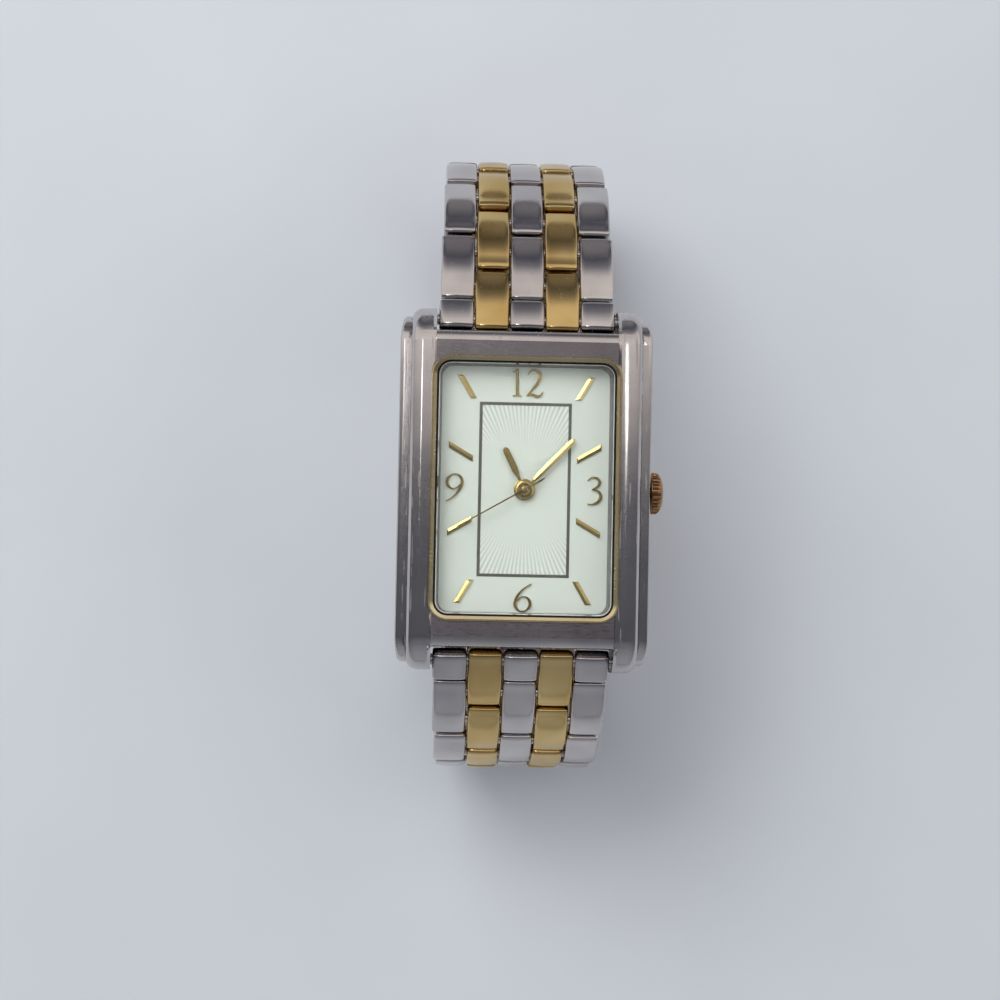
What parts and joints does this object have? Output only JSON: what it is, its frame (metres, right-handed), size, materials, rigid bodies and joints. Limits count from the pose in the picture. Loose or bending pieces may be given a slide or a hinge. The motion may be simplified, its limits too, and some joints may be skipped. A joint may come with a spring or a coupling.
{
  "type": "wristwatch",
  "caption": "Rectangular two-tone quartz wristwatch on a steel and gilt link bracelet with a folding clasp.",
  "frame": {"origin": "centre of the case back's outer face", "axes": "+Z out of the dial, +Y towards twelve o'clock, +X towards the crown at three o'clock"},
  "size_m": [0.0279, 0.0685, 0.0356],
  "materials": {
    "polished_steel": "stainless steel, polished",
    "gilt": "gold-tone plating, polished",
    "crystal": "flat mineral crystal, clear",
    "dial_white": "satin white lacquer with a gilt frame line and fine rays",
    "gasket_rubber": "matte",
    "holder_plastic": "matte",
    "board": "solder mask",
    "can_steel": "satin",
    "coil_copper": "enamelled copper wire",
    "movement_brass": "satin"
  },
  "bodies": {
    "case": {"case_body": "polished_steel", "case_back": "polished_steel", "back_gasket": "gasket_rubber", "case_spring_bars": "polished_steel", "crystal": "crystal", "crystal_gasket": "gasket_rubber", "bezel_rim": "gilt", "dial": "dial_white", "hour_markers": "gilt", "movement_plate": "movement_brass", "train_bridge": "movement_brass", "movement_holder": "holder_plastic", "circuit_board": "board", "quartz_can": "can_steel", "motor_coil": "coil_copper", "motor_stator": "can_steel", "battery": "can_steel", "battery_clamp": "can_steel"},
    "end_link_12": {"end_link_12_steel": "polished_steel", "end_link_12_gilt": "gilt"},
    "end_link_6": {"end_link_6_steel": "polished_steel", "end_link_6_gilt": "gilt"},
    "row_12_01": {"row_12_01": "polished_steel"},
    "row_12_02": {"row_12_02": "gilt"},
    "row_12_03": {"row_12_03": "polished_steel"},
    "row_12_04": {"row_12_04": "gilt"},
    "row_12_05": {"row_12_05": "polished_steel"},
    "row_12_06": {"row_12_06": "gilt"},
    "row_12_07": {"row_12_07": "polished_steel"},
    "row_12_08": {"row_12_08": "gilt"},
    "row_12_09": {"row_12_09": "polished_steel"},
    "row_12_10": {"row_12_10": "gilt"},
    "row_12_11": {"row_12_11": "polished_steel"},
    "row_6_01": {"row_6_01": "polished_steel"},
    "row_6_02": {"row_6_02": "gilt"},
    "row_6_03": {"row_6_03": "polished_steel"},
    "row_6_04": {"row_6_04": "gilt"},
    "row_6_05": {"row_6_05": "polished_steel"},
    "row_6_06": {"row_6_06": "gilt"},
    "row_6_07": {"row_6_07": "polished_steel"},
    "row_6_08": {"row_6_08": "gilt"},
    "row_6_09": {"row_6_09": "polished_steel"},
    "inner_blade": {"clasp_inner_blade": "polished_steel", "clasp_fold_pin": "polished_steel"},
    "outer_blade": {"clasp_outer_blade": "polished_steel"},
    "cover": {"clasp_cover": "polished_steel", "clasp_cover_pin": "polished_steel"},
    "crown_sleeve": {"crown_gasket": "gasket_rubber"},
    "crown_and_stem": {"crown": "gilt", "winding_stem": "can_steel"},
    "seconds": {"second_wheel": "movement_brass", "second_hand": "gilt"},
    "minutes": {"centre_wheel": "movement_brass", "minute_hand": "gilt"},
    "hours": {"hour_wheel": "movement_brass", "hour_hand": "gilt"},
    "third": {"third_wheel": "movement_brass"},
    "fifth": {"fifth_wheel": "movement_brass"},
    "rotor": {"motor_rotor": "movement_brass"},
    "minute_work": {"minute_wheel": "movement_brass"}
  },
  "joints": [
    {"name": "bracelet_12_fold", "type": "hinge", "parent": "case", "child": "end_link_12", "pos_m": [0, 0.0178, 0.0039], "axis": [1, 0, 0], "range_deg": [0, 20]},
    {"name": "row_12_01_pivot", "type": "hinge", "parent": "end_link_12", "child": "row_12_01", "pos_m": [0, 0.02165, 0.0025], "axis": [1, 0, 0], "range_deg": [0, 2]},
    {"name": "row_12_02_pivot", "type": "hinge", "parent": "row_12_01", "child": "row_12_02", "pos_m": [0, 0.02536, 0.001], "axis": [1, 0, 0], "range_deg": [0, 8]},
    {"name": "row_12_03_pivot", "type": "hinge", "parent": "row_12_02", "child": "row_12_03", "pos_m": [0, 0.02883, -0.001], "axis": [1, 0, 0], "range_deg": [0, 9]},
    {"name": "row_12_04_pivot", "type": "hinge", "parent": "row_12_03", "child": "row_12_04", "pos_m": [0, 0.03193, -0.00352], "axis": [1, 0, 0], "range_deg": [0, 13]},
    {"name": "row_12_05_pivot", "type": "hinge", "parent": "row_12_04", "child": "row_12_05", "pos_m": [0, 0.0344, -0.00667], "axis": [1, 0, 0], "range_deg": [0, 14]},
    {"name": "row_12_06_pivot", "type": "hinge", "parent": "row_12_05", "child": "row_12_06", "pos_m": [0, 0.03602, -0.01032], "axis": [1, 0, 0], "range_deg": [0, 14]},
    {"name": "row_12_07_pivot", "type": "hinge", "parent": "row_12_06", "child": "row_12_07", "pos_m": [0, 0.03672, -0.01426], "axis": [1, 0, 0], "range_deg": [0, 18.89]},
    {"name": "row_12_08_pivot", "type": "hinge", "parent": "row_12_07", "child": "row_12_08", "pos_m": [0, 0.0361, -0.01822], "axis": [1, 0, 0], "range_deg": [0, 18.89]},
    {"name": "row_12_09_pivot", "type": "hinge", "parent": "row_12_08", "child": "row_12_09", "pos_m": [0, 0.03424, -0.02175], "axis": [1, 0, 0], "range_deg": [0, 18.89]},
    {"name": "row_12_10_pivot", "type": "hinge", "parent": "row_12_09", "child": "row_12_10", "pos_m": [0, 0.03133, -0.0245], "axis": [1, 0, 0], "range_deg": [0, 18.89]},
    {"name": "row_12_11_pivot", "type": "hinge", "parent": "row_12_10", "child": "row_12_11", "pos_m": [0, 0.02768, -0.02615], "axis": [1, 0, 0], "range_deg": [0, 18.89]},
    {"name": "bracelet_6_fold", "type": "hinge", "parent": "case", "child": "end_link_6", "pos_m": [0, -0.0178, 0.0039], "axis": [-1, 0, 0], "range_deg": [0, 36]},
    {"name": "row_6_01_pivot", "type": "hinge", "parent": "end_link_6", "child": "row_6_01", "pos_m": [0, -0.02112, 0.00149], "axis": [-1, 0, 0], "range_deg": [0, 7]},
    {"name": "row_6_02_pivot", "type": "hinge", "parent": "row_6_01", "child": "row_6_02", "pos_m": [0, -0.02404, -0.00124], "axis": [-1, 0, 0], "range_deg": [0, 11]},
    {"name": "row_6_03_pivot", "type": "hinge", "parent": "row_6_02", "child": "row_6_03", "pos_m": [0, -0.02639, -0.00447], "axis": [-1, 0, 0], "range_deg": [0, 13]},
    {"name": "row_6_04_pivot", "type": "hinge", "parent": "row_6_03", "child": "row_6_04", "pos_m": [0, -0.02796, -0.00816], "axis": [-1, 0, 0], "range_deg": [0, 11.5]},
    {"name": "row_6_05_pivot", "type": "hinge", "parent": "row_6_04", "child": "row_6_05", "pos_m": [0, -0.02875, -0.01208], "axis": [-1, 0, 0], "range_deg": [0, 11.5]},
    {"name": "row_6_06_pivot", "type": "hinge", "parent": "row_6_05", "child": "row_6_06", "pos_m": [0, -0.02875, -0.01608], "axis": [-1, 0, 0], "range_deg": [0, 20.36]},
    {"name": "row_6_07_pivot", "type": "hinge", "parent": "row_6_06", "child": "row_6_07", "pos_m": [0, -0.02736, -0.01983], "axis": [-1, 0, 0], "range_deg": [0, 20.36]},
    {"name": "row_6_08_pivot", "type": "hinge", "parent": "row_6_07", "child": "row_6_08", "pos_m": [0, -0.02475, -0.02286], "axis": [-1, 0, 0], "range_deg": [0, 20.36]},
    {"name": "row_6_09_pivot", "type": "hinge", "parent": "row_6_08", "child": "row_6_09", "pos_m": [0, -0.02125, -0.02479], "axis": [-1, 0, 0], "range_deg": [0, 20.36]},
    {"name": "inner_blade_pivot", "type": "hinge", "parent": "row_6_09", "child": "inner_blade", "pos_m": [0, -0.0173, -0.02539], "axis": [-1, 0, 0], "range_deg": [0, 8.58]},
    {"name": "clasp_unfold", "type": "hinge", "parent": "inner_blade", "child": "outer_blade", "pos_m": [0, 0.0172, -0.02599], "axis": [1, 0, 0], "range_deg": [0, 140]},
    {"name": "cover_pivot", "type": "hinge", "parent": "outer_blade", "child": "cover", "pos_m": [0, -0.0125, -0.02659], "axis": [-1, 0, 0], "range_deg": [0, 140]},
    {"name": "crown_pull", "type": "slide", "parent": "case", "child": "crown_sleeve", "axis": [1, 0, 0], "range_m": [0, 0.0008]},
    {"name": "crown_turn", "type": "hinge", "parent": "crown_sleeve", "child": "crown_and_stem", "pos_m": [0.0133, 0, 0.003], "axis": [1, 0, 0], "continuous": true},
    {"name": "minute_turn", "type": "hinge", "parent": "case", "child": "minutes", "pos_m": [0, 0, 0.0026], "axis": [0, 0, -1], "continuous": true},
    {"name": "second_turn", "type": "hinge", "parent": "case", "child": "seconds", "pos_m": [0, 0, 0.0026], "axis": [0, 0, -1], "continuous": true},
    {"name": "third_turn", "type": "hinge", "parent": "case", "child": "third", "pos_m": [0.00127, -0.00151, 0.0026], "axis": [0, 0, -1], "continuous": true},
    {"name": "minute_work_turn", "type": "hinge", "parent": "case", "child": "minute_work", "pos_m": [0.00165, -0.00077, 0.0026], "axis": [0, 0, -1], "continuous": true},
    {"name": "hour_turn", "type": "hinge", "parent": "case", "child": "hours", "pos_m": [0, 0, 0.0026], "axis": [0, 0, -1], "continuous": true},
    {"name": "fifth_turn", "type": "hinge", "parent": "case", "child": "fifth", "pos_m": [-0.00173, -0.00063, 0.0026], "axis": [0, 0, -1], "continuous": true},
    {"name": "rotor_turn", "type": "hinge", "parent": "case", "child": "rotor", "pos_m": [-0.00302, -0.00154, 0.0026], "axis": [0, 0, -1], "continuous": true}
  ],
  "couplings": [
    {"joint": "cover_pivot", "follows": "clasp_unfold", "ratio": 1},
    {"joint": "second_turn", "follows": "minute_turn", "ratio": 60},
    {"joint": "third_turn", "follows": "minute_turn", "ratio": -9},
    {"joint": "minute_work_turn", "follows": "minute_turn", "ratio": -0.33333},
    {"joint": "hour_turn", "follows": "minute_turn", "ratio": 0.083333},
    {"joint": "fifth_turn", "follows": "minute_turn", "ratio": -360},
    {"joint": "rotor_turn", "follows": "minute_turn", "ratio": 1800}
  ]
}
